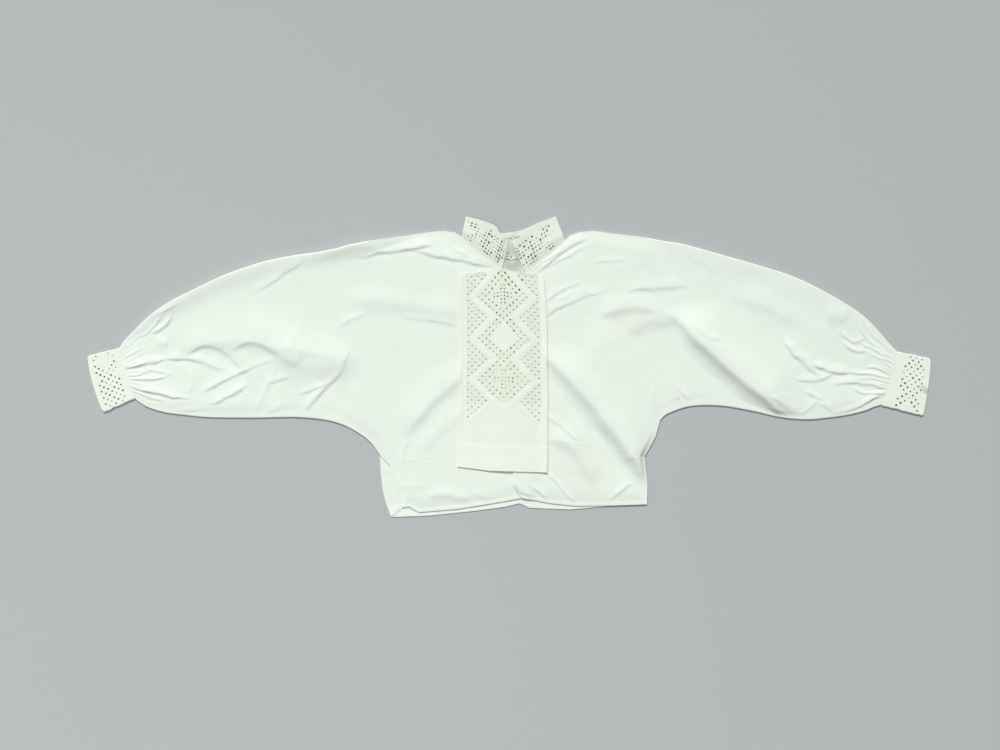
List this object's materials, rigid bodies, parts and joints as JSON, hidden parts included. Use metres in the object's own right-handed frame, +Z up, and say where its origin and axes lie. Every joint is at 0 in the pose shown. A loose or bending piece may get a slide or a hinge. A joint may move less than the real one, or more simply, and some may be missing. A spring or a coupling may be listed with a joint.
{
  "type": "bunad shirt, laid flat",
  "caption": "White linen folk costume shirt laid flat, with gathered full sleeves and cutwork embroidery on its collar, cuffs and front panel.",
  "frame": {"origin": "centre of the shirt's box on the surface that it lies on", "axes": "+X along the sleeves towards the wearer's left hand, +Y up to the collar, +Z up off the surface"},
  "size_m": [1.4746, 0.525, 0.0103],
  "materials": {
    "body_linen": "plain-woven white linen or cotton, matt, slightly cool",
    "whitework_linen": "even-weave linen with satin stitch and cutwork, slightly cream"
  },
  "bodies": {
    "root": {"back": "body_linen", "back_band": "body_linen", "front_left": "body_linen", "front_band_left": "body_linen", "front_right": "body_linen", "front_band_right": "body_linen", "sleeve_left": "body_linen", "sleeve_right": "body_linen", "cuff_left": "whitework_linen", "cuff_right": "whitework_linen", "collar": "whitework_linen", "front_panel": "whitework_linen"}
  },
  "joints": []
}
